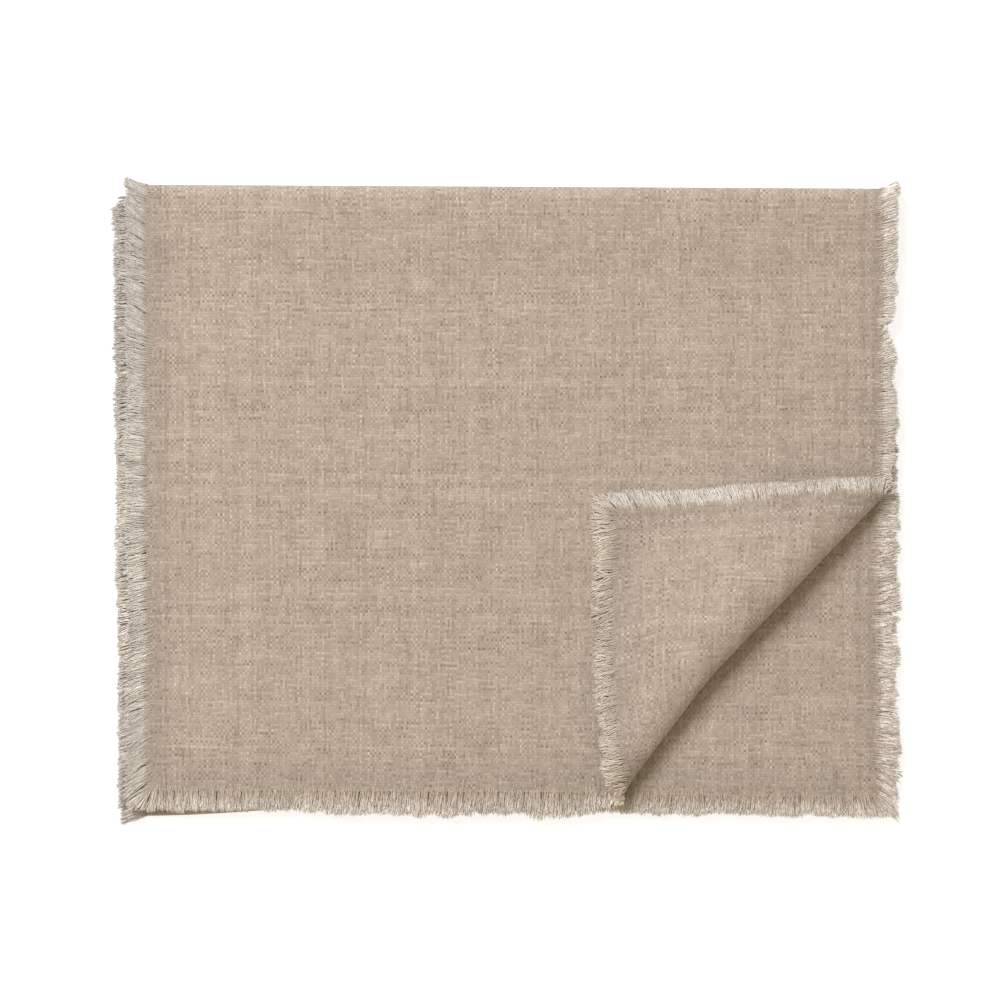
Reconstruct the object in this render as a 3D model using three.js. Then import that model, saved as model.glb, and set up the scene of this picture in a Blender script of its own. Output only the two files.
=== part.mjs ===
// A long table runner of plain woven cloth with a short frayed fringe all round, folded to eight layers.
// The top layer's free corner is turned back over it in a soft roll.
// Millimetres, +Z up. It rests on z = 0, with its closed folds towards +Y and its cut ends towards -Y.

import * as THREE from 'three';

// Cloth
const CLOTH_WIDTH = 337;
const CLOTH_THICKNESS = 1;
const LAYER_PITCH = 1.5;
const TOP_LAYER = 7;
const TOP_LAYER_X = 3.2;

// The stack is a little loftier towards its closed folds, by this share of its height
const LOFT = 0.22;
const LOFT_FROM_Y = -70;
const LOFT_TO_Y = 140;

// The two cut ends: y of the cloth's edge, how far the cloth lies right of the top layer there,
// how much further +Y its right edge lies than its left, and how far its left end is pulled towards -Y
const FIRST_END = { y: -134.1, shift: 0, lean: -1.6, pull: 0 };
const LAST_END = { y: -134.6, shift: -1.2, lean: -4.4, pull: 0 };
const PULLED_LEFT_OF = -20;

// The folds in order along the runner, from the top layer's cut end.
// from, to: the layers that the fold joins, counted up from the table; tip: y of its outermost line
const FOLDS = [
  { from: 7, to: 0, tip: 143, shift: 0, lean: -1.8, pull: 0 },
  { from: 0, to: 3, tip: -136.5, shift: -1.6, lean: 0.9, pull: 8.4 },
  { from: 3, to: 4, tip: 134.2, shift: -5.4, lean: -1.1, pull: 0 },
  { from: 4, to: 5, tip: -135.2, shift: -2.2, lean: -0.6, pull: 0 },
  { from: 5, to: 2, tip: 136.4, shift: -4.2, lean: 0.5, pull: 0 },
  { from: 2, to: 1, tip: -134.2, shift: -2.8, lean: 0.7, pull: 0 },
  { from: 1, to: 6, tip: 139.4, shift: -2.6, lean: -0.8, pull: 0 },
];

// The turned-back corner rolls over along a slanting line, and its flap comes down at a slope
const ROLL_ANGLE = THREE.MathUtils.degToRad(46);
const FLAP_SLOPE = THREE.MathUtils.degToRad(20);
const LANDING_TO_ROLL = 7.5;

// Sections across the roll, from its lower left end to its upper right end.
// along: place along the roll, from the corner; crease: how far in from the corner the cloth doubles back;
// slip: how far the flap slides along the roll; radius: the roll's radius
const ROLL_SECTIONS = [
  { along: -88, crease: 81.6, slip: -1.6, radius: 4.4 },
  { along: -74, crease: 83.9, slip: -2.2, radius: 5.2 },
  { along: -46, crease: 86.6, slip: -0.6, radius: 6.8 },
  { along: -10, crease: 89.5, slip: 7.2, radius: 7.8 },
  { along: 20, crease: 89.5, slip: 9.0, radius: 8.0 },
  { along: 55, crease: 90.2, slip: 11.4, radius: 7.6 },
  { along: 98, crease: 93, slip: 18.8, radius: 4.2 },
];

// Fringe: a narrow strip beside the cloth's edge, with flat tapering locks rooted in it
const LEFT_FRINGE_LENGTH = 9.7;
const RIGHT_FRINGE_LENGTH = 7.8;
const END_FRINGE_LENGTH = 9.3;
const FRINGE_VARIATION = 0.13;
const PIECE_GAP = 0.3;
const STRIP_WIDTH = 1.8;
const LOCK_PITCH_SEEN = 11.5;
const LOCK_PITCH_HIDDEN = 24;
const LOCK_ROOT_SHARE = 0.8;
const LOCK_TIP_SHARE = 0.55;
const LOCK_LEAN = 1.3;
const CORNER_LEAN = 6.5;
const SHORTEST_ROOT = 2.2;
const LOCKS_BETWEEN_SEEDS = 37;

// Fineness of the faceted surfaces
const FOLD_STEPS = 6;
const ROLL_STEPS = 9;
const FALL_STEPS = 3;
const LANDING_STEPS = 3;
const FLAP_STEPS = 7;
const COLUMN_SPACING = 26;
const ROLL_COLUMN_SPACING = 11;
const ROW_SPACING = 34;
const MOST_TURN_PER_CELL = THREE.MathUtils.degToRad(30);
const CLEAR_OF_ROLL = 6;
const NEAR = 1e-6;
const SEARCH_HALVINGS = 50;
const DIRECTION_STEP = 0.02;

const CLOTH_COLOUR = 0xbaa896;
const FRINGE_COLOUR = 0xc8bcab;

const HALF_WIDTH = CLOTH_WIDTH / 2;
const ALONG_ROLL = new THREE.Vector2(Math.cos(ROLL_ANGLE), Math.sin(ROLL_ANGLE));
const OUT_OF_ROLL = new THREE.Vector2(Math.sin(ROLL_ANGLE), -Math.cos(ROLL_ANGLE));

// Smooth value of one column of a table, read at a place along its key column without overshoot
function readTable(rows, key, column, at) {
  const last = rows.length - 1;
  const place = THREE.MathUtils.clamp(at, rows[0][key], rows[last][key]);
  let i = 0;
  while (i < last - 1 && place > rows[i + 1][key]) i += 1;
  const rise = (k) => (rows[k + 1][column] - rows[k][column]) / (rows[k + 1][key] - rows[k][key]);
  const tangent = (k) => {
    if (k === 0) return rise(0);
    if (k === last) return rise(last - 1);
    const before = rise(k - 1);
    const after = rise(k);
    return before * after <= 0 ? 0 : 2 * before * after / (before + after);
  };
  const span = rows[i + 1][key] - rows[i][key];
  const f = (place - rows[i][key]) / span;
  const g = 1 - f;
  const startPart = g * g * ((1 + 2 * f) * rows[i][column] + f * span * tangent(i));
  const endPart = f * f * ((1 + 2 * g) * rows[i + 1][column] - g * span * tangent(i + 1));
  return startPart + endPart;
}

// The runner's way from cut end to cut end: straight layers and half-round folds in turn
function makeRoute() {
  const route = [];
  let length = 0;
  let from = FIRST_END;
  for (const fold of FOLDS) {
    const side = Math.sign(fold.tip);
    const radius = Math.abs(fold.to - fold.from) / 2 * LAYER_PITCH;
    const to = { ...fold, y: fold.tip - side * radius };
    const run = Math.abs(to.y - from.y);
    route.push({ start: length, run, from, to, layer: fold.from, turns: false });
    length += run;
    route.push({ start: length, run: Math.PI * radius, to, side, radius, fold, turns: true });
    length += Math.PI * radius;
    from = to;
  }
  const run = Math.abs(LAST_END.y - from.y);
  route.push({ start: length, run, from, to: LAST_END, layer: FOLDS.at(-1).to, turns: false });
  return { route, length: length + run };
}

const { route: ROUTE, length: CLOTH_LENGTH } = makeRoute();
const FIRST_RUN = ROUTE[0].run;

// How far the top layer's diagonal from its turned corner drifts along the roll, for each inset
const DIAGONAL_DRIFT = (FIRST_RUN * ALONG_ROLL.y - CLOTH_WIDTH * ALONG_ROLL.x)
  / (CLOTH_WIDTH * OUT_OF_ROLL.x - FIRST_RUN * OUT_OF_ROLL.y);

// Where the runner is at a distance v from its first cut end
function station(v) {
  const part = ROUTE.findLast((p) => v >= p.start) ?? ROUTE[0];
  const f = (v - part.start) / part.run;
  if (!part.turns) {
    const between = (name) => THREE.MathUtils.lerp(part.from[name], part.to[name], f);
    const [y, shift, lean, pull] = ['y', 'shift', 'lean', 'pull'].map(between);
    return { y, shift, lean, pull, layer: part.layer };
  }
  const { from, to } = part.fold;
  const layer = (from + to) / 2 - (to - from) / 2 * Math.cos(Math.PI * f);
  const y = part.to.y + part.side * part.radius * Math.sin(Math.PI * f);
  return { ...part.to, y, layer };
}

// The roll's section at a place along it: its radius, the sloping fall, the landing and the cloth they use
function rollSection(along) {
  const read = (column) => readTable(ROLL_SECTIONS, 'along', column, along);
  const radius = read('radius');
  const landing = LANDING_TO_ROLL * radius;
  const sin = Math.sin(FLAP_SLOPE);
  const cos = Math.cos(FLAP_SLOPE);
  const fall = (radius * (1 + cos) - landing * (1 - cos) - LAYER_PITCH) / sin;
  const turned = radius * (Math.PI + FLAP_SLOPE);
  const used = turned + fall + landing * FLAP_SLOPE;
  const reach = -(radius + landing) * sin - fall * cos;
  const startInset = read('crease') + (used + reach) / 2;
  return { radius, landing, fall, turned, used, reach, startInset, slip: read('slip') };
}

// The section's outward place and lift, at a distance s of cloth past its start
function rollProfile(s, section) {
  const { radius, landing, fall, turned, used, reach } = section;
  if (s <= turned) {
    const angle = s / radius;
    return { out: radius * Math.sin(angle), lift: radius * (1 - Math.cos(angle)) };
  }
  if (s <= turned + fall) {
    const down = s - turned;
    const out = -radius * Math.sin(FLAP_SLOPE) - down * Math.cos(FLAP_SLOPE);
    return { out, lift: radius * (1 + Math.cos(FLAP_SLOPE)) - down * Math.sin(FLAP_SLOPE) };
  }
  const left = Math.max(0, (used - s) / landing);
  const out = reach + landing * Math.sin(left) - Math.max(0, s - used);
  return { out, lift: LAYER_PITCH + landing * (1 - Math.cos(left)) };
}

// Share of the flap's slip that is reached at a share of the roll's cloth: it rises softly, then fast
function slipShare(share) {
  const left = 1 - THREE.MathUtils.clamp(share, 0, 1);
  return 1 - left ** 4 * (5 - 4 * left);
}

// The top layer's flat place (u across, v along) with its free corner turned back
function turnCorner(u, v) {
  const across = u - HALF_WIDTH;
  const along = across * ALONG_ROLL.x + v * ALONG_ROLL.y;
  const inset = -across * OUT_OF_ROLL.x - v * OUT_OF_ROLL.y;
  const section = rollSection(along);
  const s = section.startInset - inset;
  if (s <= 0) return { u, v, lift: 0 };
  const { out, lift } = rollProfile(s, section);
  const moved = out - section.startInset;
  const slid = along + section.slip * slipShare(s / section.used);
  return {
    u: HALF_WIDTH + slid * ALONG_ROLL.x + moved * OUT_OF_ROLL.x,
    v: slid * ALONG_ROLL.y + moved * OUT_OF_ROLL.y,
    lift,
  };
}

// Height of the middle of a layer above the table
function layerHeight(layer, y) {
  const loft = 1 + LOFT * THREE.MathUtils.smoothstep(y, LOFT_FROM_Y, LOFT_TO_Y);
  return CLOTH_THICKNESS / 2 + layer * LAYER_PITCH * loft;
}

// Middle of the cloth in space, u across the runner from its centre line and v along it
function clothPoint(u, v) {
  const flat = v < FIRST_RUN ? turnCorner(u, v) : { u, v, lift: 0 };
  const at = station(flat.v);
  const pulled = at.pull * THREE.MathUtils.smoothstep(-flat.u, -PULLED_LEFT_OF, HALF_WIDTH);
  const y = at.y + at.lean * flat.u / CLOTH_WIDTH - pulled;
  return new THREE.Vector3(TOP_LAYER_X + flat.u + at.shift, y, layerHeight(at.layer, y) + flat.lift);
}

// Unit directions of the cloth at a point: across it, along it and out of its face
function clothDirections(u, v) {
  const step = DIRECTION_STEP;
  const across = clothPoint(u + step, v).sub(clothPoint(u - step, v)).normalize();
  const along = clothPoint(u, v + step).sub(clothPoint(u, v - step)).normalize();
  const normal = new THREE.Vector3().crossVectors(across, along).normalize();
  return { across, along, normal };
}

// A sheet in the making: points of its middle surface and triangles wound anticlockwise seen from its face
class Sheet {
  points = [];
  triangles = [];

  add(u, v, middle, normal) {
    this.points.push({ u, v, middle, normal });
    return this.points.length - 1;
  }

  triangle(a, b, c) {
    const [p, q, r] = [a, b, c].map((i) => this.points[i]);
    const turn = (q.u - p.u) * (r.v - p.v) - (r.u - p.u) * (q.v - p.v);
    this.triangles.push(turn > 0 ? [a, b, c] : [a, c, b]);
  }

  // Fills the band between two rows of points, each ordered by the same key
  stitch(rowA, rowB, key) {
    let i = 0;
    let j = 0;
    while (i < rowA.length - 1 || j < rowB.length - 1) {
      const nextA = i < rowA.length - 1 ? key(this.points[rowA[i + 1]]) : Infinity;
      const nextB = j < rowB.length - 1 ? key(this.points[rowB[j + 1]]) : Infinity;
      if (nextA <= nextB) {
        this.triangle(rowA[i], rowA[i + 1], rowB[j]);
        i += 1;
      } else {
        this.triangle(rowA[i], rowB[j + 1], rowB[j]);
        j += 1;
      }
    }
  }

  // The closed solid of the cloth's thickness about the middle surface
  solid() {
    const count = this.points.length;
    const positions = [];
    for (const side of [0.5, -0.5]) {
      for (const { middle, normal } of this.points) {
        positions.push(...middle.clone().addScaledVector(normal, side * CLOTH_THICKNESS));
      }
    }
    const edges = new Set();
    for (const [a, b, c] of this.triangles) {
      for (const edge of [[a, b], [b, c], [c, a]]) edges.add(edge.join());
    }
    const index = [];
    for (const [a, b, c] of this.triangles) {
      index.push(a, b, c, a + count, c + count, b + count);
      for (const [p, q] of [[a, b], [b, c], [c, a]]) {
        if (!edges.has([q, p].join())) index.push(q, p, p + count, q, p + count, q + count);
      }
    }
    const geometry = new THREE.BufferGeometry();
    geometry.setAttribute('position', new THREE.Float32BufferAttribute(positions, 3));
    geometry.setIndex(index);
    geometry.computeVertexNormals();
    return geometry;
  }
}

// Even steps from one value to another, no longer than the spacing
function evenSteps(from, to, spacing) {
  const count = Math.max(1, Math.ceil(Math.abs(to - from) / spacing));
  return Array.from({ length: count + 1 }, (_, i) => THREE.MathUtils.lerp(from, to, i / count));
}

// Flat place of a point given along the roll and in from the corner
function fromRoll(along, inset) {
  return {
    u: HALF_WIDTH + along * ALONG_ROLL.x - inset * OUT_OF_ROLL.x,
    v: along * ALONG_ROLL.y - inset * OUT_OF_ROLL.y,
  };
}

function alongOf({ u, v }) {
  return (u - HALF_WIDTH) * ALONG_ROLL.x + v * ALONG_ROLL.y;
}

// Ends of a slanting row on the top layer's outline, where the row's inset may change along it
function rowEnds(insetAt) {
  const search = (insideTest, far) => {
    let inside = insetAt(0) * DIAGONAL_DRIFT;
    let outside = far;
    for (let i = 0; i < SEARCH_HALVINGS; i += 1) {
      const middle = (inside + outside) / 2;
      if (insideTest(fromRoll(middle, insetAt(middle)))) inside = middle;
      else outside = middle;
    }
    return inside;
  };
  return {
    low: search((p) => p.v >= 0 && p.u >= -HALF_WIDTH, -CLOTH_WIDTH),
    high: search((p) => p.u <= HALF_WIDTH && p.v <= FIRST_RUN, CLOTH_WIDTH),
  };
}

// Rows of the turned-back part, from the corner back to where the roll starts: insets along the roll
function turnedRows() {
  const rows = [];
  const past = (distance) => (along) => {
    const section = rollSection(along);
    return section.startInset - distance(section);
  };
  for (let i = 0; i <= ROLL_STEPS; i += 1) rows.push(past((s) => s.turned * i / ROLL_STEPS));
  for (let i = 1; i <= FALL_STEPS; i += 1) rows.push(past((s) => s.turned + s.fall * i / FALL_STEPS));
  for (let i = 1; i <= LANDING_STEPS; i += 1) {
    rows.push(past((s) => s.used - s.landing * FLAP_SLOPE * (1 - i / LANDING_STEPS)));
  }
  for (let i = 1; i < FLAP_STEPS; i += 1) {
    rows.push(past((s) => THREE.MathUtils.lerp(s.used, s.startInset, i / FLAP_STEPS)));
  }
  return rows.reverse();
}

// Insets of the straight slanting rows over the flat rest of the top layer, through each of its corners
function flatRows() {
  const rollStarts = ROLL_SECTIONS.map(({ along }) => rollSection(along).startInset);
  const upperRight = FIRST_RUN * -OUT_OF_ROLL.y;
  const lowerLeft = CLOTH_WIDTH * OUT_OF_ROLL.x;
  const insets = [Math.max(...rollStarts) + CLEAR_OF_ROLL];
  for (const corner of [upperRight, lowerLeft]) {
    insets.push(...evenSteps(insets.at(-1), corner, ROW_SPACING).slice(1));
  }
  insets.push(...evenSteps(lowerLeft, upperRight + lowerLeft, ROW_SPACING).slice(1, -1));
  return insets;
}

// The whole cloth: slanting rows over the top layer, then straight rows through folds and lower layers
function makeCloth() {
  const sheet = new Sheet();
  const addPoint = (u, v) => sheet.add(u, v, clothPoint(u, v), clothDirections(u, v).normal);
  const upperLeft = addPoint(-HALF_WIDTH, FIRST_RUN);
  const foldLine = [];
  let previous = [addPoint(HALF_WIDTH, 0)];
  const addRow = (insetAt, spacing) => {
    const { low, high } = rowEnds(insetAt);
    const row = evenSteps(low, high, spacing).map((along) => {
      const { u, v } = fromRoll(along, insetAt(along));
      return addPoint(u, v);
    });
    sheet.stitch(previous, row, alongOf);
    if (sheet.points[row.at(-1)].v > FIRST_RUN - NEAR) foldLine.push(row.at(-1));
    previous = row;
  };
  for (const insetAt of turnedRows()) addRow(insetAt, ROLL_COLUMN_SPACING);
  for (const inset of flatRows()) addRow(() => inset, COLUMN_SPACING);
  sheet.stitch(previous, [upperLeft], alongOf);
  foldLine.push(upperLeft);

  const columns = foldLine.map((i) => sheet.points[i].u);
  previous = foldLine;
  for (const part of ROUTE.slice(1)) {
    const spacing = part.turns ? part.run / FOLD_STEPS : ROW_SPACING;
    for (const v of evenSteps(part.start, part.start + part.run, spacing).slice(1)) {
      const row = columns.map((u) => addPoint(u, v));
      sheet.stitch(previous, row, (p) => -p.u);
      previous = row;
    }
  }
  return sheet.solid();
}

// The cloth's edges: the flat place at w along the edge, its corners, which way is out of the cloth,
// and the length of its fringe
const SIDE = { out: 'across', corners: [0, CLOTH_LENGTH] };
const END = { out: 'along', corners: [-HALF_WIDTH, HALF_WIDTH], length: END_FRINGE_LENGTH };
const EDGES = {
  left: { ...SIDE, at: (w) => [-HALF_WIDTH, w], sign: -1, length: LEFT_FRINGE_LENGTH },
  right: { ...SIDE, at: (w) => [HALF_WIDTH, w], sign: 1, length: RIGHT_FRINGE_LENGTH },
  first: { ...END, at: (w) => [w, 0], sign: -1 },
  last: { ...END, at: (w) => [w, CLOTH_LENGTH], sign: 1 },
};

// A repeatable uneven value from -1 to 1 for the n-th lock
function uneven(n) {
  return Math.sin(2.4 * n + 1.7 * Math.sin(0.9 * n));
}

// The fringe along one stretch of an edge: a strip with locks rooted in it that stand apart
function makeFringe(edge, from, to, pitchAt, seed) {
  const sheet = new Sheet();
  const frame = (w) => {
    const [u, v] = edge.at(w);
    const directions = clothDirections(u, v);
    const sideways = edge.out === 'across' ? directions.along : directions.across;
    const out = directions[edge.out].clone().multiplyScalar(edge.sign);
    return { u, v, foot: clothPoint(u, v), out, sideways, normal: directions.normal };
  };
  // The turned corner's fringe comes to rest on the top layer, and no lower than that
  const lowest = (foot) => Math.min(foot.z, layerHeight(TOP_LAYER + 1, foot.y));
  const addPoint = (at, away, aside) => {
    const middle = at.foot.clone().addScaledVector(at.out, away).addScaledVector(at.sideways, aside);
    middle.z = Math.max(middle.z, lowest(at.foot));
    const across = edge.out === 'across';
    const u = at.u + (across ? edge.sign * away : aside);
    const v = at.v + (across ? aside : edge.sign * away);
    return sheet.add(u, v, middle, at.normal);
  };
  // The longest step along the edge in which the cloth turns no further than a cell may
  const stepWithin = (w, wanted) => {
    const facing = frame(w).normal;
    let step = Math.min(wanted, to - w);
    while (facing.angleTo(frame(w + step).normal) > MOST_TURN_PER_CELL) step *= 0.8;
    return step;
  };
  const root = PIECE_GAP + STRIP_WIDTH;
  const addStation = (w) => {
    const at = frame(w);
    return [addPoint(at, PIECE_GAP, 0), addPoint(at, root, 0)];
  };
  const quad = (a, b, c, d) => {
    sheet.triangle(a, b, c);
    sheet.triangle(a, c, d);
  };
  let w = from;
  let before = addStation(w);
  let number = seed;
  let lockNext = false;
  while (w < to - NEAR) {
    const pitch = pitchAt(w);
    const step = stepWithin(w, pitch * (lockNext ? LOCK_ROOT_SHARE : 1 - LOCK_ROOT_SHARE));
    const after = addStation(w + step);
    quad(before[0], after[0], after[1], before[1]);
    if (lockNext && step > SHORTEST_ROOT) {
      const nearStart = Math.max(0, 1 - (w - edge.corners[0]) / pitch);
      const nearEnd = Math.max(0, 1 - (edge.corners[1] - w - step) / pitch);
      const lean = LOCK_LEAN * uneven(number) + CORNER_LEAN * (nearEnd - nearStart);
      const tip = edge.length * (1 + FRINGE_VARIATION * uneven(number + 0.5));
      const half = LOCK_TIP_SHARE * step / 2;
      const middle = frame(w + step / 2);
      quad(before[1], after[1], addPoint(middle, tip, lean + half), addPoint(middle, tip, lean - half));
      number += 1;
    }
    lockNext = !lockNext;
    before = after;
    w += step;
  }
  return sheet.solid();
}

// The layers whose fringe shows from above have finer locks
function pitchAlongSide(v) {
  const seen = v < ROUTE[1].start + ROUTE[1].run || v > ROUTE.at(-1).start;
  return seen ? LOCK_PITCH_SEEN : LOCK_PITCH_HIDDEN;
}

function pitchAlongEnd() {
  return LOCK_PITCH_SEEN;
}

function makeMesh(name, geometry, color) {
  const material = new THREE.MeshStandardMaterial({ color, roughness: 0.92, metalness: 0 });
  const mesh = new THREE.Mesh(geometry, material);
  mesh.name = name;
  return mesh;
}

// Where the roll starts on the top layer's cut end and on its right edge
const rollStart = rowEnds((along) => rollSection(along).startInset);
const startOnEnd = fromRoll(rollStart.low, rollSection(rollStart.low).startInset).u;
const startOnSide = fromRoll(rollStart.high, rollSection(rollStart.high).startInset).v;
const parting = PIECE_GAP / 2;

const runner = new THREE.Group();
runner.name = 'folded_table_runner';
runner.add(makeMesh('cloth', makeCloth(), CLOTH_COLOUR));
const fringes = [
  ['fringe_left', EDGES.left, 0, CLOTH_LENGTH, pitchAlongSide],
  ['fringe_right', EDGES.right, startOnSide + parting, CLOTH_LENGTH, pitchAlongSide],
  ['fringe_right_turned', EDGES.right, 0, startOnSide - parting, pitchAlongSide],
  ['fringe_end_top', EDGES.first, -HALF_WIDTH, startOnEnd - parting, pitchAlongEnd],
  ['fringe_end_turned', EDGES.first, startOnEnd + parting, HALF_WIDTH, pitchAlongEnd],
  ['fringe_end_second', EDGES.last, -HALF_WIDTH, HALF_WIDTH, pitchAlongEnd],
];
fringes.forEach(([name, edge, from, to, pitchAt], i) => {
  const geometry = makeFringe(edge, from, to, pitchAt, LOCKS_BETWEEN_SEEDS * i);
  runner.add(makeMesh(name, geometry, FRINGE_COLOUR));
});

export default runner;
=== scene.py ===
"""A folded table runner: woven cloth in eight layers with a frayed fringe and one corner turned back."""

from __future__ import annotations

import logging
import math
from dataclasses import dataclass, fields, replace
from enum import Enum
from functools import cached_property

import bmesh
import bpy
import numpy as np
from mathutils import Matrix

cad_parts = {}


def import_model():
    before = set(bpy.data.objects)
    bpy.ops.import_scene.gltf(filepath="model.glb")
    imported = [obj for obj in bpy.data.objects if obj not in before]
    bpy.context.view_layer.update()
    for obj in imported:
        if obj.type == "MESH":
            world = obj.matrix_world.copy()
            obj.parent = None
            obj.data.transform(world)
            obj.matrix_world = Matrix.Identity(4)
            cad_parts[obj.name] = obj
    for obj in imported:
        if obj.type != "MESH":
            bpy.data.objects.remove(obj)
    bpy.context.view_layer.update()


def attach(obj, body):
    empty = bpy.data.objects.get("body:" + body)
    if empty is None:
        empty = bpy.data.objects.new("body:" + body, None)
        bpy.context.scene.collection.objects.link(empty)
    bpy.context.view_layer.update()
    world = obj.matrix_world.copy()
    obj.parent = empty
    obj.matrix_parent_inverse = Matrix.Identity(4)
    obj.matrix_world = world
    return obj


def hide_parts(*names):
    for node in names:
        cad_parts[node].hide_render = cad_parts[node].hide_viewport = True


Array = np.ndarray
Colour = tuple[float, float, float]
Socket = bpy.types.NodeSocket
LOG = logging.getLogger("table_runner")
MM = 0.001
NOISE_RANGE = (0.3, 0.7)
GOLDEN_ANGLE = 2.4


def smoothstep(at: Array, low: float | Array, high: float | Array) -> Array:
    """Rises smoothly from 0 to 1.

    Args:
        at: Where to read it.
        low: Where the rise starts.
        high: Where the rise ends.

    Returns:
        The value at each place, from 0 to 1.
    """
    f = np.clip((at - low) / (high - low), 0.0, 1.0)
    return f * f * (3.0 - 2.0 * f)


def read_table(places: Array, values: Array, at: Array) -> Array:
    """Reads a smooth curve through a table's rows without overshoot.

    Args:
        places: The rows' places, rising.
        values: The rows' values.
        at: Where to read the curve.

    Returns:
        The curve's value at each place.
    """
    rise = np.diff(values) / np.diff(places)
    product = rise[:-1] * rise[1:]
    total = np.where(product > 0, rise[:-1] + rise[1:], 1.0)
    inner = np.where(product > 0, 2.0 * product / total, 0.0)
    tangent = np.concatenate([rise[:1], inner, rise[-1:]])
    held = np.clip(at, places[0], places[-1])
    i = np.clip(np.searchsorted(places, held) - 1, 0, len(places) - 2)
    span = places[i + 1] - places[i]
    f = (held - places[i]) / span
    g = 1.0 - f
    start = g * g * ((1.0 + 2.0 * f) * values[i] + f * span * tangent[i])
    end = f * f * ((1.0 + 2.0 * g) * values[i + 1] - g * span * tangent[i + 1])
    return start + end


def unit(vectors: Array) -> Array:
    """Scales each row to a length of 1."""
    return vectors / np.linalg.norm(vectors, axis=1, keepdims=True)


@dataclass(frozen=True)
class Line:
    """A line across the runner, in mm: its y, its sideways shift, its lean and the pull on its left end."""

    y: float
    shift: float
    lean: float
    pull: float = 0.0


@dataclass(frozen=True)
class Fold:
    """A fold that joins two layers, counted up from the table, with its outermost y, in mm."""

    start_layer: int
    end_layer: int
    tip: float
    shift: float
    lean: float
    pull: float = 0.0


@dataclass(frozen=True)
class RollRow:
    """A section across the turned corner's roll, in mm."""

    along: float
    crease: float
    slip: float
    radius: float


@dataclass(frozen=True)
class Stretch:
    """One stretch of the runner's way: a straight layer, or a half-round fold where turns is set."""

    start: float
    run: float
    layers: tuple[int, int]
    here: Line
    there: Line
    turns: bool = False
    bulge: float = 0.0


@dataclass(frozen=True)
class RollForm:
    """The roll's form at many places along it, in mm."""

    radius: Array
    landing: Array
    fall: Array
    turned: Array
    used: Array
    reach: Array
    start_inset: Array
    slip: Array


@dataclass(frozen=True)
class Ripples:
    """Faint waves in the top layer, in mm: their height, lengths and bends, and a slower swing."""

    height: float = 0.18
    lengths: tuple[float, float] = (23.0, 31.0)
    bends: tuple[float, float] = (1.3, 0.8)
    bend_lengths: tuple[float, float] = (41.0, 37.0)
    swing: float = 0.5
    swing_lengths: tuple[float, float] = (61.0, 83.0)
    swing_start: float = 0.6

    def at(self, u: Array, v: Array) -> Array:
        """How far the layer stands up in waves, never below its flat place.

        Args:
            u: Places across the runner.
            v: Places along it.

        Returns:
            The height at each place.
        """
        across = u / self.lengths[0] + self.bends[0] * np.sin(v / self.bend_lengths[0])
        along = v / self.lengths[1] + self.bends[1] * np.sin(u / self.bend_lengths[1])
        swing = np.sin(u / self.swing_lengths[0] - v / self.swing_lengths[1] + self.swing_start)
        return self.height * (1.0 + self.swing + np.sin(across) * np.sin(along) + self.swing * swing)


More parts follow.
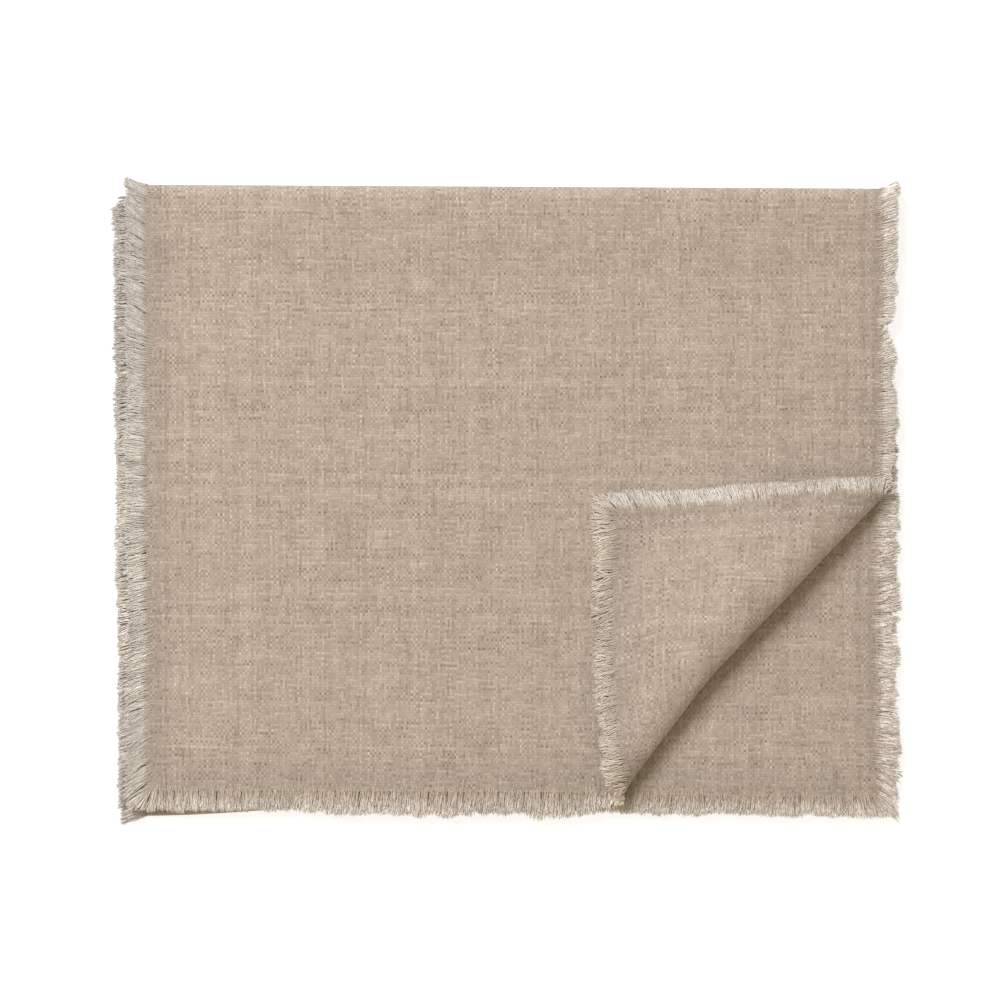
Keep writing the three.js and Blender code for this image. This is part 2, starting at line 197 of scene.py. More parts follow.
@dataclass(frozen=True)
class RunnerShape:
    """How the runner is folded: every size that places its cloth, in mm."""

    width: float = 337.0
    thickness: float = 1.0
    pitch: float = 1.5
    top_layer: int = 7
    top_layer_x: float = 3.2
    loft: float = 0.22
    loft_from_y: float = -70.0
    loft_to_y: float = 140.0
    swell: float = 0.36
    swell_from_y: float = 97.0
    swell_to_y: float = 136.0
    settled: float = 0.07
    settled_to_y: float = -114.0
    pulled_left_of: float = -20.0
    first_end: Line = Line(-134.1, 0.0, -1.6)
    last_end: Line = Line(-134.6, -1.2, -4.4)
    folds: tuple[Fold, ...] = (
        Fold(7, 0, 143.0, 0.0, -1.8),
        Fold(0, 3, -136.5, -1.6, 0.9, 7.8),
        Fold(3, 4, 134.2, -5.4, -1.1),
        Fold(4, 5, -135.2, -2.2, -0.6),
        Fold(5, 2, 136.4, -4.2, 0.5),
        Fold(2, 1, -134.2, -2.8, 0.7),
        Fold(1, 6, 139.4, -2.6, -0.8),
    )
    roll_angle: float = math.radians(46)
    flap_slope: float = math.radians(17)
    roll_over: float = 1.6
    turn_steps: int = 400
    landing_to_roll: float = 7.5
    roll_rows: tuple[RollRow, ...] = (
        RollRow(-88.0, 81.6, -1.6, 4.4),
        RollRow(-74.0, 83.9, -2.2, 5.2),
        RollRow(-46.0, 86.6, -0.6, 6.8),
        RollRow(-10.0, 89.5, 7.2, 7.8),
        RollRow(20.0, 89.5, 9.0, 8.0),
        RollRow(55.0, 90.2, 11.4, 7.6),
        RollRow(98.0, 93.0, 18.8, 3.1),
    )
    ripples: Ripples = Ripples()
    search_steps: int = 4000

    @cached_property
    def route(self) -> list[Stretch]:
        """The runner's way from cut end to cut end.

        Returns:
            Its straight layers and half-round folds, in turn.
        """
        way: list[Stretch] = []
        length = 0.0
        here = self.first_end
        for fold in self.folds:
            side = math.copysign(1.0, fold.tip)
            radius = abs(fold.end_layer - fold.start_layer) / 2 * self.pitch
            turn = Line(fold.tip - side * radius, fold.shift, fold.lean, fold.pull)
            run = abs(turn.y - here.y)
            way.append(Stretch(length, run, (fold.start_layer, fold.start_layer), here, turn))
            length += run
            layers = (fold.start_layer, fold.end_layer)
            way.append(Stretch(length, math.pi * radius, layers, turn, turn, True, side * radius))
            length += math.pi * radius
            here = turn
        layer = self.folds[-1].end_layer
        way.append(Stretch(length, abs(self.last_end.y - here.y), (layer, layer), here, self.last_end))
        return way

    @property
    def half_width(self) -> float:
        """Half the cloth's width."""
        return self.width / 2

    @property
    def first_run(self) -> float:
        """Length of the top layer up to its closed fold."""
        return self.route[0].run

    @property
    def length(self) -> float:
        """Length of the cloth laid flat."""
        return self.route[-1].start + self.route[-1].run

    @property
    def roll_axes(self) -> tuple[float, float]:
        """Cosine and sine of the roll's slant."""
        return math.cos(self.roll_angle), math.sin(self.roll_angle)

    def station(self, u: Array, v: Array) -> tuple[Array, Array, Array]:
        """Where the runner is at flat places on it.

        Args:
            u: Places across the runner, from its centre line.
            v: Distances from the first cut end.

        Returns:
            The y, sideways shift and layer at each.
        """
        y, shift, layer = (np.zeros_like(v) for _ in range(3))
        pulled = smoothstep(-u, -self.pulled_left_of, self.half_width)
        last = len(self.route) - 1
        for i, part in enumerate(self.route):
            after = v >= part.start if i else np.ones(v.shape, bool)
            before = v < part.start + part.run if i < last else np.ones(v.shape, bool)
            at = after & before
            f = (v[at] - part.start) / part.run
            value = {name: getattr(part.here, name) * (1 - f) + getattr(part.there, name) * f
                     for name in ("y", "shift", "lean", "pull")}
            skew = value["lean"] * u[at] / self.width - value["pull"] * pulled[at]
            share = 0.5 - 0.5 * np.cos(np.pi * f)
            y[at] = value["y"] + skew + part.bulge * np.sin(np.pi * f)
            shift[at] = value["shift"]
            layer[at] = part.layers[0] + (part.layers[1] - part.layers[0]) * share
        return y, shift, layer

    @cached_property
    def turn_table(self) -> tuple[Array, Array, Array, Array]:
        """The roll's turn for a radius of 1, round below and drawn out above, so that it rolls over softly.

        Returns:
            The cloth used up, the angle, the outward place and the lift, from the turn's start to its end.
        """
        last = math.pi + math.atan(self.roll_over * math.tan(self.flap_slope))
        angle = np.linspace(0.0, last, self.turn_steps)
        out = np.where(angle < math.pi / 2, np.sin(angle), 1 - self.roll_over * (1 - np.sin(angle)))
        lift = 1 - np.cos(angle)
        steps = np.hypot(np.diff(out), np.diff(lift))
        return np.concatenate([[0.0], np.cumsum(steps)]), angle, out, lift

    def roll_size(self, name: str, along: Array) -> Array:
        """Reads one of the roll's sizes at places along it.

        Args:
            name: The size's name in the roll's rows.
            along: Places along the roll, from the corner.

        Returns:
            The size at each place.
        """
        places = np.array([row.along for row in self.roll_rows])
        sizes = np.array([getattr(row, name) for row in self.roll_rows])
        return read_table(places, sizes, along)

    def roll_form(self, along: Array) -> RollForm:
        """The roll's form at places along it.

        Args:
            along: Places along the roll, from the corner.

        Returns:
            Its radius, fall and landing, and the cloth that they use.
        """
        radius, slip = self.roll_size("radius", along), self.roll_size("slip", along)
        landing = self.landing_to_roll * radius
        sin, cos = math.sin(self.flap_slope), math.cos(self.flap_slope)
        cloth, _, out, lift = self.turn_table
        fall = (radius * lift[-1] - landing * (1 - cos) - self.pitch) / sin
        turned = radius * cloth[-1]
        used = turned + fall + landing * self.flap_slope
        reach = radius * out[-1] - fall * cos - landing * sin
        start_inset = self.roll_size("crease", along) + (used + reach) / 2
        return RollForm(radius, landing, fall, turned, used, reach, start_inset, slip)

    def roll_profile(self, s: Array, form: RollForm) -> tuple[Array, Array]:
        """The roll's section, at distances of cloth past its start.

        Args:
            s: Distances past the start.
            form: The roll's form at the same points.

        Returns:
            The outward place and the lift of each point.
        """
        sin, cos = math.sin(self.flap_slope), math.cos(self.flap_slope)
        cloth, angles, turn_out, turn_lift = self.turn_table
        angle = np.interp(s / form.radius, cloth, angles)
        down = np.clip(s - form.turned, 0.0, form.fall)
        left = np.clip((form.used - s) / form.landing, 0.0, self.flap_slope)
        out_turn = form.radius * np.interp(angle, angles, turn_out)
        out_fall = form.radius * turn_out[-1] - down * cos
        out_land = form.reach + form.landing * np.sin(left) - np.maximum(0.0, s - form.used)
        lift_turn = form.radius * np.interp(angle, angles, turn_lift)
        lift_fall = form.radius * turn_lift[-1] - down * sin
        lift_land = self.pitch + form.landing * (1 - np.cos(left))
        in_turn = s <= form.turned
        in_fall = s <= form.turned + form.fall
        out = np.where(in_turn, out_turn, np.where(in_fall, out_fall, out_land))
        lift = np.where(in_turn, lift_turn, np.where(in_fall, lift_fall, lift_land))
        return out, lift

    def turn_corner(self, u: Array, v: Array) -> tuple[Array, Array, Array]:
        """Turns the top layer's free corner back.

        Args:
            u: Flat places across the runner.
            v: Flat places along the runner.

        Returns:
            The places across and along, and the lift above the top layer.
        """
        cos, sin = self.roll_axes
        across = u - self.half_width
        along = across * cos + v * sin
        inset = -across * sin + v * cos
        form = self.roll_form(along)
        s = form.start_inset - inset
        out, lift = self.roll_profile(np.maximum(s, 0.0), form)
        moved = out - form.start_inset
        left = 1.0 - np.clip(s / form.used, 0.0, 1.0)
        easing = left**4 * (5.0 - 4.0 * left)
        slid = along + form.slip * (1.0 - easing)
        turned = (s > 0) & (v < self.first_run)
        new_u = np.where(turned, self.half_width + slid * cos + moved * sin, u)
        new_v = np.where(turned, slid * sin - moved * cos, v)
        return new_u, new_v, np.where(turned, lift, 0.0)

    def layer_height(self, layer: Array | float, y: Array) -> Array:
        """Height of the middle of a layer above the table, which swells at the closed folds.

        Args:
            layer: The layer, counted up from the table.
            y: Where on the layer.

        Returns:
            The height at each place.
        """
        loft = self.loft * smoothstep(y, self.loft_from_y, self.loft_to_y)
        swell = self.swell * smoothstep(y, self.swell_from_y, self.swell_to_y)
        settled = self.settled * (1.0 - smoothstep(y, self.first_end.y, self.settled_to_y))
        return self.thickness / 2 + layer * self.pitch * (1.0 + loft + swell - settled)

    def point(self, u: Array, v: Array) -> Array:
        """Middle of the cloth in space.

        Args:
            u: Places across the runner, from its centre line.
            v: Places along it, from its first cut end.

        Returns:
            One row of x, y and z, in mm, for each place.
        """
        flat_u, flat_v, lift = self.turn_corner(u, v)
        y, shift, layer = self.station(flat_u, flat_v)
        on_top = smoothstep(layer, self.top_layer - 1.0, float(self.top_layer))
        z = self.layer_height(layer, y) + lift + self.ripples.at(flat_u, flat_v) * on_top
        return np.column_stack([self.top_layer_x + flat_u + shift, y, z])

    def directions(self, u: Array, v: Array) -> tuple[Array, Array, Array]:
        """Unit directions of the cloth.

        Args:
            u: Places across the runner.
            v: Places along it.

        Returns:
            The directions across it, along it and out of its face.
        """
        step = 0.02
        across = unit(self.point(u + step, v) - self.point(u - step, v))
        along = unit(self.point(u, v + step) - self.point(u, v - step))
        return across, along, unit(np.cross(across, along))

    def roll_start(self, edge: Edge) -> float:
        """Where the roll starts on an edge of the top layer.

        Args:
            edge: The first cut end or the right edge.

        Returns:
            The place along that edge.
        """
        cos, sin = self.roll_axes
        places = np.linspace(0.0, self.half_width, self.search_steps)
        if edge is Edge.FIRST:
            along, inset = -places * cos, places * sin
        else:
            along, inset = places * sin, places * cos
        before = inset < self.roll_form(along).start_inset
        found = float(places[before][-1])
        return self.half_width - found if edge is Edge.FIRST else found


class Edge(Enum):
    """The cloth's four edges: which way is out of the cloth, and on which side."""

    LEFT = ("across", -1.0)
    RIGHT = ("across", 1.0)
    FIRST = ("along", -1.0)
    LAST = ("along", 1.0)

    @property
    def is_side(self) -> bool:
        """True for the two long edges."""
        return self.value[0] == "across"

    @property
    def sign(self) -> float:
        """Which way the fringe points, along the cloth's own direction."""
        return self.value[1]

    def at(self, w: Array, shape: RunnerShape) -> tuple[Array, Array]:
        """Flat places on the edge.

        Args:
            w: Places along the edge.
            shape: The runner's sizes.

        Returns:
            The places across and along the runner.
        """
        if self.is_side:
            return np.full_like(w, self.sign * shape.half_width), w
        return w, np.full_like(w, 0.0 if self is Edge.FIRST else shape.length)


class Nodes:
    """A node tree with short calls to add and link nodes."""

    def __init__(self, tree: bpy.types.NodeTree) -> None:
        """Starts from an empty tree."""
        self.tree = tree
        tree.nodes.clear()

    def add(self, kind: str, *links: tuple[str | int, object], **settings: object) -> bpy.types.Node:
        """Adds a node.

        Args:
            kind: The node's type.
            links: An input's name or number, and the socket or value that it gets.
            settings: Properties of the node.

        Returns:
            The node.
        """
        node = self.tree.nodes.new(kind)
        for name, value in settings.items():
            setattr(node, name, value)
        for name, value in links:
            self.feed(node.inputs[name], value)
        return node

    def feed(self, socket: Socket, value: object) -> None:
        """Links a socket to an input, or sets the input's own value.

        Args:
            socket: The input.
            value: The socket or the plain value that it gets.
        """
        if isinstance(value, Socket):
            self.tree.links.new(value, socket)
        else:
            socket.default_value = value

    def math(self, operation: str, a: object, b: object = 0.0, c: object = 0.0) -> Socket:
        """Adds a math node and gives its result."""
        node = self.add("ShaderNodeMath", (0, a), (1, b), (2, c), operation=operation)
        return node.outputs[0]

    def mix(self, factor: object, a: object, b: object, blend: str = "MIX") -> Socket:
        """Mixes two colours.

        Args:
            factor: How much of the second.
            a: The first colour.
            b: The second colour.
            blend: The way of mixing.

        Returns:
            The mixed colour.
        """
        node = self.add("ShaderNodeMix", data_type="RGBA", blend_type=blend)
        for name, value in (("Factor_Float", factor), ("A_Color", a), ("B_Color", b)):
            socket = next(s for s in node.inputs if s.identifier == name)
            self.feed(socket, value)
        return next(s for s in node.outputs if s.identifier == "Result_Color")

    def spread(self, value: object, low: float, high: float, to_low: float, to_high: float) -> Socket:
        """Maps a range of values to another range."""
        links = ((0, value), (1, low), (2, high), (3, to_low), (4, to_high))
        return self.add("ShaderNodeMapRange", *links).outputs[0]

    def noise(self, vector: object, scale: float, detail: float = 2.0) -> Socket:
        """Adds a noise texture and gives its value."""
        links = (("Vector", vector), ("Scale", scale), ("Detail", detail))
        return self.add("ShaderNodeTexNoise", *links).outputs["Fac"]

    def blend(self, factor: object, a: object, b: object) -> Socket:
        """Goes from one value to another as the factor goes from 0 to 1."""
        return self.math("MULTIPLY_ADD", self.math("SUBTRACT", b, a), factor, a)

    def vector(self, x: object, y: object, z: object = 0.0) -> Socket:
        """Joins three values to a vector."""
        return self.add("ShaderNodeCombineXYZ", (0, x), (1, y), (2, z)).outputs[0]


def opaque(colour: Colour) -> tuple[float, float, float, float]:
    """The colour with full alpha."""
    return (*colour, 1.0)


def new_material(name: str) -> tuple[bpy.types.Material, Nodes]:
    """Makes an empty node material.

    Args:
        name: The material's name.

    Returns:
        The material and its nodes.
    """
    material = bpy.data.materials.new(name)
    material.use_nodes = True
    return material, Nodes(material.node_tree)


@dataclass(frozen=True)
class Weave:
    """A plain weave as a shared shader effect, in threads: how its yarns wander and differ in shade."""

    wander: tuple[float, float, float] = (2.4, 2.0, 0.0)
    wander_scale: float = 0.13
    own_shade: float = 0.36
    slub_shade: float = 1.35
    slub_scale: float = 0.12
    speck: float = 0.27
    speck_power: float = 1.1
    busy_scale: float = 0.12
    busy_range: tuple[float, float] = (0.7, 1.3)
    crossing: float = 0.8
    warp_shade: float = 0.06
    warp_seed: float = 11.0
    weft_seed: float = 47.0
    yarns_apart: float = 5.37
    detail: float = 2.0

    def group(self) -> bpy.types.NodeTree:
        """Makes the node group, which gives the weave's relief and its shade about a middle of 0.

        Returns:
            The node group.
        """
        tree = bpy.data.node_groups.new("plain_weave", "ShaderNodeTree")
        tree.interface.new_socket(name="Threads", in_out="INPUT", socket_type="NodeSocketVector")
        for name in ("Relief", "Shade"):
            tree.interface.new_socket(name=name, in_out="OUTPUT", socket_type="NodeSocketFloat")
        nodes = Nodes(tree)
        given = nodes.add("NodeGroupInput").outputs["Threads"]
        a, b = self.wandering(nodes, given)
        warp, weft = nodes.math("FLOOR", a), nodes.math("FLOOR", b)
        wave_a = nodes.math("SINE", nodes.math("MULTIPLY", a, math.pi))
        wave_b = nodes.math("SINE", nodes.math("MULTIPLY", b, math.pi))
        round_a, round_b = nodes.math("ABSOLUTE", wave_a), nodes.math("ABSOLUTE", wave_b)
        crossing = nodes.math("MULTIPLY_ADD", nodes.math("MULTIPLY", wave_a, wave_b), self.crossing, 0.5)
        on_top = nodes.spread(crossing, 0.0, 1.0, 0.0, 1.0)
        warp_shade = nodes.math("MULTIPLY", self.yarn_shade(nodes, warp, b, self.warp_seed), round_a)
        weft_shade = nodes.math("MULTIPLY", self.yarn_shade(nodes, weft, a, self.weft_seed), round_b)
        yarns = nodes.blend(on_top, weft_shade, warp_shade)
        yarns = nodes.math("ADD", yarns, nodes.spread(on_top, 0.0, 1.0, -self.warp_shade, self.warp_shade))
        busy = nodes.spread(nodes.noise(given, self.busy_scale), *NOISE_RANGE, *self.busy_range)
        rounded = nodes.math("MULTIPLY", round_a, round_b)
        speck = nodes.math("MULTIPLY", self.specks(nodes, warp, weft), rounded)
        shade = nodes.math("MULTIPLY_ADD", speck, busy, yarns)
        warp_relief = nodes.math("MULTIPLY", round_a, nodes.math("MULTIPLY_ADD", round_b, 0.5, 0.5))
        weft_relief = nodes.math("MULTIPLY", round_b, nodes.math("MULTIPLY_ADD", round_a, 0.5, 0.5))
        relief = nodes.blend(on_top, weft_relief, warp_relief)
        nodes.add("NodeGroupOutput", ("Relief", relief), ("Shade", shade))
        return tree

    def wandering(self, nodes: Nodes, given: Socket) -> list[Socket]:
        """Moves threads off their straight lines.

        Args:
            nodes: The nodes to add to.
            given: The straight places, in threads.

        Returns:
            The place across the warp and the place across the weft.
        """
        links = (("Vector", given), ("Scale", self.wander_scale), ("Detail", self.detail))
        noise = nodes.add("ShaderNodeTexNoise", *links)
        half = (0.5, 0.5, 0.5)
        off = nodes.add("ShaderNodeVectorMath", (0, noise.outputs["Color"]), (1, half), operation="SUBTRACT")
        links = ((0, off.outputs[0]), (1, self.wander), (2, given))
        moved = nodes.add("ShaderNodeVectorMath", *links, operation="MULTIPLY_ADD")
        return nodes.add("ShaderNodeSeparateXYZ", (0, moved.outputs[0])).outputs[:2]

    def yarn_shade(self, nodes: Nodes, yarn: Socket, place: Socket, seed: float) -> Socket:
        """A yarn's own shade, with slubs along it.

        Args:
            nodes: The nodes to add to.
            yarn: The yarn's number.
            place: The place along it, in threads.
            seed: Keeps the warp's shades apart from the weft's.

        Returns:
            The shade, about 0.
        """
        number = nodes.math("ADD", yarn, seed)
        own = nodes.add("ShaderNodeTexWhiteNoise", ("W", number), noise_dimensions="1D")
        apart = nodes.math("MULTIPLY", yarn, self.yarns_apart)
        slub = nodes.noise(nodes.vector(apart, nodes.math("MULTIPLY", place, self.slub_scale), seed), 1.0)
        own_part = nodes.math("MULTIPLY", nodes.math("SUBTRACT", own.outputs["Value"], 0.5), self.own_shade)
        return nodes.math("MULTIPLY_ADD", nodes.math("SUBTRACT", slub, 0.5), self.slub_shade, own_part)

    def specks(self, nodes: Nodes, warp: Socket, weft: Socket) -> Socket:
        """A speck for each crossing, most of them faint.

        Args:
            nodes: The nodes to add to.
            warp: The warp yarn's number.
            weft: The weft yarn's number.

        Returns:
            The speck's shade, about 0.
        """
        crossing = nodes.vector(warp, weft)
        chance = nodes.add("ShaderNodeTexWhiteNoise", ("Vector", crossing), noise_dimensions="2D")
        signed = nodes.math("MULTIPLY_ADD", chance.outputs["Value"], 2.0, -1.0)
        size = nodes.math("POWER", nodes.math("ABSOLUTE", signed), self.speck_power)
        return nodes.math("MULTIPLY", nodes.math("MULTIPLY", nodes.math("SIGN", signed), size), self.speck)


@dataclass(frozen=True)
class ClothFinish:
    """Plain weave of flax and cream yarns, matt, with slubs and specks, painted shade in the gaps between
    threads and painted shade towards the cloth's edges.
    """

    size: tuple[float, float]
    name: str = "flax_and_cream_weave"
    weave: Weave = Weave()
    thread_across: float = 1.105
    thread_along: float = 1.3
    flax: Colour = (0.118, 0.066, 0.031)
    cream: Colour = (0.724, 0.601, 0.488)
    shade_range: float = 0.8
    # Painted shade between the threads: where the weave's relief is low, the colour is darkened to this
    # share.
    gap: float = 0.93
    gap_relief: tuple[float, float] = (0.05, 0.75)
    mottle: float = 0.06
    mottle_scale: float = 70.0
    mottle_detail: float = 4.0
    # Painted shade: over this width in mm, the cloth's colour darkens towards every side and cut end, down
    # to the share below at the very edge.
    frayed: float = 17.0
    frayed_shade: float = 0.86
    relief: float = 0.2
    relief_strength: float = 0.35
    roughness: float = 0.92
    specular: float = 0.15
    sheen: float = 0.12
    sheen_roughness: float = 0.6

    def material(self) -> bpy.types.Material:
        """Builds the material, whose weave follows the cloth's own map of flat places in metres.

        Returns:
            The material.
        """
        material, nodes = new_material(self.name)
        flat = nodes.add("ShaderNodeUVMap", uv_map="flat_cloth").outputs[0]
        per_metre = (1.0 / (self.thread_across * MM), 1.0 / (self.thread_along * MM), 1.0)
        threads = nodes.add("ShaderNodeVectorMath", (0, flat), (1, per_metre), operation="MULTIPLY")
        weave = nodes.add("ShaderNodeGroup", node_tree=self.weave.group())
        nodes.feed(weave.inputs["Threads"], threads.outputs[0])
        pale = nodes.spread(weave.outputs["Shade"], -self.shade_range, self.shade_range, 0.0, 1.0)
        yarns = nodes.mix(pale, opaque(self.flax), opaque(self.cream))
        # Painted shade: darker in the gaps between threads.
        depth = nodes.spread(weave.outputs["Relief"], *self.gap_relief, self.gap, 1.0)
        mottle = nodes.noise(flat, self.mottle_scale, self.mottle_detail)
        patchy = nodes.spread(mottle, *NOISE_RANGE, 1.0 - self.mottle, 1.0 + self.mottle)
        # Painted shade: darker towards every side and cut end.
        painted_edge_shade = nodes.spread(self.from_edge(nodes, flat), 0.0, self.frayed * MM, self.frayed_shade, 1.0)
        shade = nodes.math("MULTIPLY", depth, nodes.math("MULTIPLY", patchy, painted_edge_shade))
        colour = nodes.mix(1.0, yarns, nodes.vector(shade, shade, shade), "MULTIPLY")
        raised = (("Strength", self.relief_strength), ("Distance", self.relief * MM))
        bump = nodes.add("ShaderNodeBump", *raised, ("Height", weave.outputs["Relief"]))
        skin = nodes.add("ShaderNodeBsdfPrincipled", ("Base Color", colour), ("Normal", bump.outputs[0]),
                         ("Roughness", self.roughness), ("Specular IOR Level", self.specular),
                         ("Sheen Weight", self.sheen), ("Sheen Roughness", self.sheen_roughness))
        nodes.add("ShaderNodeOutputMaterial", ("Surface", skin.outputs[0]))
        return material

    def from_edge(self, nodes: Nodes, flat: Socket) -> Socket:
        """How far a place is from the nearest edge of the cloth.

        Args:
            nodes: The nodes to add to.
            flat: The flat place, in metres.

        Returns:
            The distance, in metres.
        """
        split = nodes.add("ShaderNodeSeparateXYZ", (0, flat))
        width, length = (side * MM for side in self.size)
        from_side = nodes.math("SUBTRACT", width / 2, nodes.math("ABSOLUTE", split.outputs[0]))
        from_last = nodes.math("SUBTRACT", length, split.outputs[1])
        return nodes.math("MINIMUM", from_side, nodes.math("MINIMUM", split.outputs[1], from_last))


@dataclass(frozen=True)
class YarnFinish:
    """Loose cream yarns that keep the cloth's flax shade at their roots."""

    name: str
    dark: Colour
    light: Colour
    bared: tuple[float, float]
    root: Colour = (0.53, 0.425, 0.33)
    fibre_scale: float = 900.0
    fibre_shade: float = 0.25
    fibre_fade: float = 0.3
    roughness: float = 0.9
    specular: float = 0.12
    sheen: float = 0.25
    sheen_roughness: float = 0.5

    def material(self) -> bpy.types.Material:
        """Builds the material, which reads each yarn's own shade from its map.

        Returns:
            The material.
        """
        material, nodes = new_material(self.name)
        yarn = nodes.add("ShaderNodeUVMap", uv_map="yarn").outputs[0]
        split = nodes.add("ShaderNodeSeparateXYZ", (0, yarn))
        along, own = split.outputs[0], split.outputs[1]
        place = nodes.add("ShaderNodeTexCoord").outputs["Object"]
        fine = nodes.noise(place, self.fibre_scale)
        fibres = nodes.spread(fine, *NOISE_RANGE, -self.fibre_shade, self.fibre_shade)
        colour = nodes.mix(nodes.math("ADD", own, fibres), opaque(self.dark), opaque(self.light))
        frayed = nodes.math("MULTIPLY_ADD", fibres, self.fibre_fade, along)
        bared = nodes.spread(frayed, *self.bared, 0.0, 1.0)
        faded = nodes.mix(bared, opaque(self.root), colour)
        skin = nodes.add("ShaderNodeBsdfPrincipled", ("Base Color", faded),
                         ("Roughness", self.roughness), ("Specular IOR Level", self.specular),
                         ("Sheen Weight", self.sheen), ("Sheen Roughness", self.sheen_roughness))
        nodes.add("ShaderNodeOutputMaterial", ("Surface", skin.outputs[0]))
        return material


# The same yarns in six lit and shaded copies: side and end yarns differ as weft and warp do, and within each
# group the copies are darkened or lightened as painted shade and light for how light falls on their edge.
LEFT_YARNS = YarnFinish("left_edge_yarns", (0.54, 0.475, 0.40), (0.91, 0.825, 0.72), (0.1, 0.4))
RIGHT_YARNS = YarnFinish("right_edge_yarns", (0.605, 0.53, 0.443), (0.885, 0.80, 0.70), (0.1, 0.4))
TURNED_YARNS = YarnFinish("turned_edge_yarns", (0.55, 0.48, 0.395), (0.785, 0.705, 0.605), (0.1, 0.4))
END_YARNS = YarnFinish("cut_end_yarns", (0.63, 0.555, 0.475), (0.95, 0.86, 0.75), (0.2, 0.95))
TURNED_END_YARNS = YarnFinish("turned_end_yarns", (0.57, 0.48, 0.38), (0.86, 0.735, 0.60), (0.1, 0.75))
SECOND_END_YARNS = YarnFinish("second_end_yarns", (0.64, 0.565, 0.48), (0.95, 0.86, 0.75), (0.3, 1.0))


def show(name: str, mesh: bpy.types.Mesh, material: bpy.types.Material) -> bpy.types.Object:
    """Puts a mesh in the scene.

    Args:
        name: The object's name.
        mesh: Its mesh, in metres.
        material: Its material.

    Returns:
        The object, at the origin.
    """
    mesh.materials.append(material)
    mesh.shade_smooth()
    piece = bpy.data.objects.new(name, mesh)
    bpy.context.scene.collection.objects.link(piece)
    return piece


@dataclass
class Cloth:
    """The runner's cloth, in mm: one thin sheet through all its layers, finest where its corner turns."""

    shape: RunnerShape
    finish: ClothFinish
    fine: float = 1.6
    plain: float = 4.2
    hidden: float = 22.0
    rim: float = 0.5
    fold_steps: int = 8
    around_roll: float = 10.0
    thickness: float = 0.9

    def columns(self) -> Array:
        """Places across the runner where the sheet has points.

        Returns:
            The places, rising, from the centre line.
        """
        half = self.shape.half_width
        start = self.shape.roll_start(Edge.FIRST) - self.around_roll
        rough = np.linspace(-half, start, round((start + half) / self.plain) + 1)
        fine = np.linspace(start, half, round((half - start) / self.fine) + 1)
        return np.unique(np.concatenate([rough, fine[1:], [self.rim - half, half - self.rim]]))

    def rows(self) -> Array:
        """Places along the runner where the sheet has points.

        Returns:
            The places, rising, from the first cut end.
        """
        first, end = self.shape.first_run, self.shape.roll_start(Edge.RIGHT) + self.around_roll
        places = [np.linspace(0.0, end, round(end / self.fine) + 1)]
        places.append(np.linspace(end, first, round((first - end) / self.plain) + 1)[1:])
        for part in self.shape.route[1:]:
            steps = self.fold_steps if part.turns else round(part.run / self.hidden)
            places.append(np.linspace(part.start, part.start + part.run, steps + 1)[1:])
        return np.unique(np.concatenate([*places, [self.rim, self.shape.length - self.rim]]))

    def build(self) -> bpy.types.Object:
        """Makes the sheet from a grid laid along the folds.

        Returns:
            The sheet's object.
        """
        columns, rows = self.columns(), self.rows()
        bm = bmesh.new()
        bmesh.ops.create_grid(bm, x_segments=len(columns) - 1, y_segments=len(rows) - 1, size=0.5)
        start = np.array([vert.co[:2] for vert in bm.verts]) + 0.5
        u = columns[np.rint(start[:, 0] * (len(columns) - 1)).astype(int)]
        v = rows[np.rint(start[:, 1] * (len(rows) - 1)).astype(int)]
        flat_map = bm.loops.layers.uv.new("flat_cloth")
        places = np.column_stack([u, v]) * MM
        bm.verts.index_update()
        for face in bm.faces:
            for loop in face.loops:
                loop[flat_map].uv = places[loop.vert.index]
        for vert, place in zip(bm.verts, self.shape.point(u, v) * MM):
            vert.co = place
        mesh = bpy.data.meshes.new("runner_cloth")
        bm.to_mesh(mesh)
        bm.free()
        piece = show("runner_cloth", mesh, self.finish.material())
        solid = piece.modifiers.new("thickness", "SOLIDIFY")
        solid.thickness = self.thickness * MM
        solid.offset = 0.0
        return piece


@dataclass(frozen=True)
class Unevenness:
    """How a value varies along a fringe: size and length of waves and of clumps, and each yarn's scatter."""

    wave: tuple[float, float]
    scatter: float
    clump: tuple[float, float] | None = None


@dataclass(frozen=True)
class StrandKind:
    """How a yarn's strands are made: their number, radius in mm, rings, flatness, depth and reach."""

    number: int
    radius: float
    rings: tuple[float, ...]
    flat: float = 1.0
    sunk: float = 0.0
    reach: float = 1.0


SHOWN_STRANDS = StrandKind(13, 0.23, (0.0, 0.08, 0.34, 0.64, 0.93))
CORE_STRANDS = StrandKind(2, 0.62, (0.0, 0.3, 0.62, 0.9), flat=0.3, sunk=0.2, reach=0.9)
TUCKED_STRANDS = StrandKind(6, 0.3, (0.0, 0.45, 0.9))


